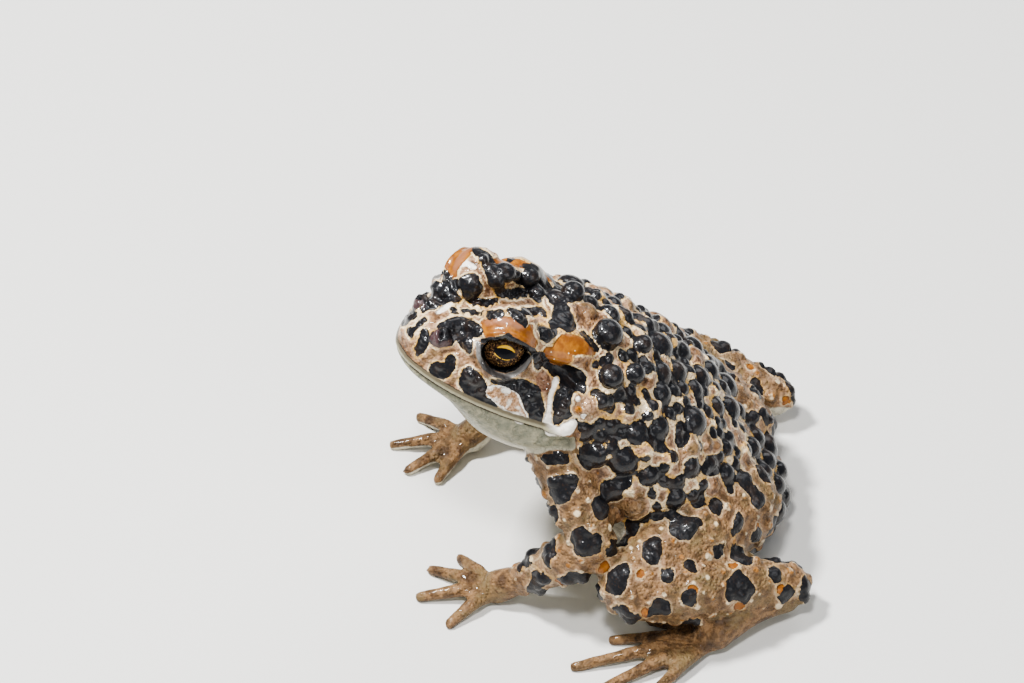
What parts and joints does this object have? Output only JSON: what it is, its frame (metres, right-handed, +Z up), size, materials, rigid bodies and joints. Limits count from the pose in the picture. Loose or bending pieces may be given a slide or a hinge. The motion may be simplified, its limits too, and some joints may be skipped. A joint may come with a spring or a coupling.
{
  "type": "yosemite toad figure",
  "caption": "Life-size sitting toad, propped on its forelegs with its head raised, warty back, oval neck glands and folded hind legs.",
  "frame": {"origin": "middle of the bounding box, at the floor", "axes": "+Z up, the toad's body faces -Y, and +X is on its left"},
  "size_m": [0.0714, 0.0562, 0.049],
  "materials": {
    "skin": "damp warty skin, tan with black and rust patches edged in cream",
    "belly": "damp fine-grained skin, pale greenish grey",
    "eye": "wet and glossy, dark brown iris flecked with copper and gold"
  },
  "bodies": {
    "root": {"head": "skin", "lower_jaw": "belly", "torso": "skin", "eye_left": "eye", "eye_right": "eye", "upper_arm_left": "skin", "upper_arm_right": "skin", "forearm_left": "skin", "forearm_right": "skin", "hand_left": "skin", "hand_right": "skin", "thigh_left": "skin", "thigh_right": "skin", "shank_left": "skin", "shank_right": "skin", "foot_left": "skin", "foot_right": "skin"}
  },
  "joints": []
}
